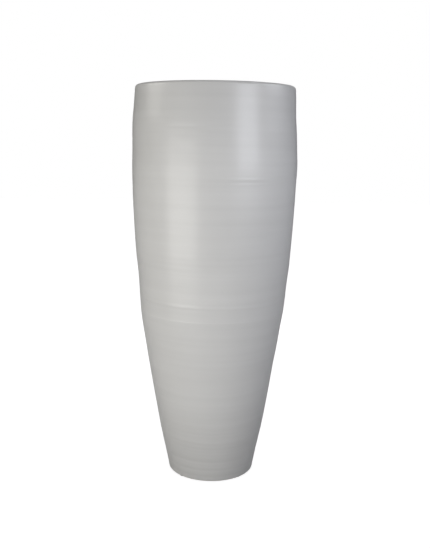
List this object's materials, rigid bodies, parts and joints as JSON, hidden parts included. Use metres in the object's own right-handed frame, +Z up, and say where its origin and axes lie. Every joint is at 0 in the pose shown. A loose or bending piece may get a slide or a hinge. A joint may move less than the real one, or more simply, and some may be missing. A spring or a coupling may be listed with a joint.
{
  "type": "floor vase",
  "caption": "Tall hand-thrown ceramic floor vase: narrow turned foot, wall swelling up to broad shoulders, slightly drawn-in plain rounded lip, satin off-white glaze.",
  "frame": {"origin": "centre of the foot on the floor: the middle of the underside of the felt pads", "axes": "+Z up along the vase's axis of turning, from the foot to the mouth; X and Y level, with a felt pad on each diagonal between them"},
  "size_m": [0.3316, 0.3316, 0.8],
  "materials": {
    "glazed_stoneware": "satin-matte off-white glaze over fine throwing rings",
    "fired_slip": "matt fired clay slip, hidden in the joints but for a thin line",
    "grey_felt": "pressed wool felt"
  },
  "bodies": {
    "root": {"base_section": "glazed_stoneware", "middle_section": "glazed_stoneware", "top_section": "glazed_stoneware", "lower_joint_slip": "fired_slip", "upper_joint_slip": "fired_slip", "lower_seam_coil": "glazed_stoneware", "upper_seam_coil": "glazed_stoneware", "floor_pads": "grey_felt"}
  },
  "joints": []
}
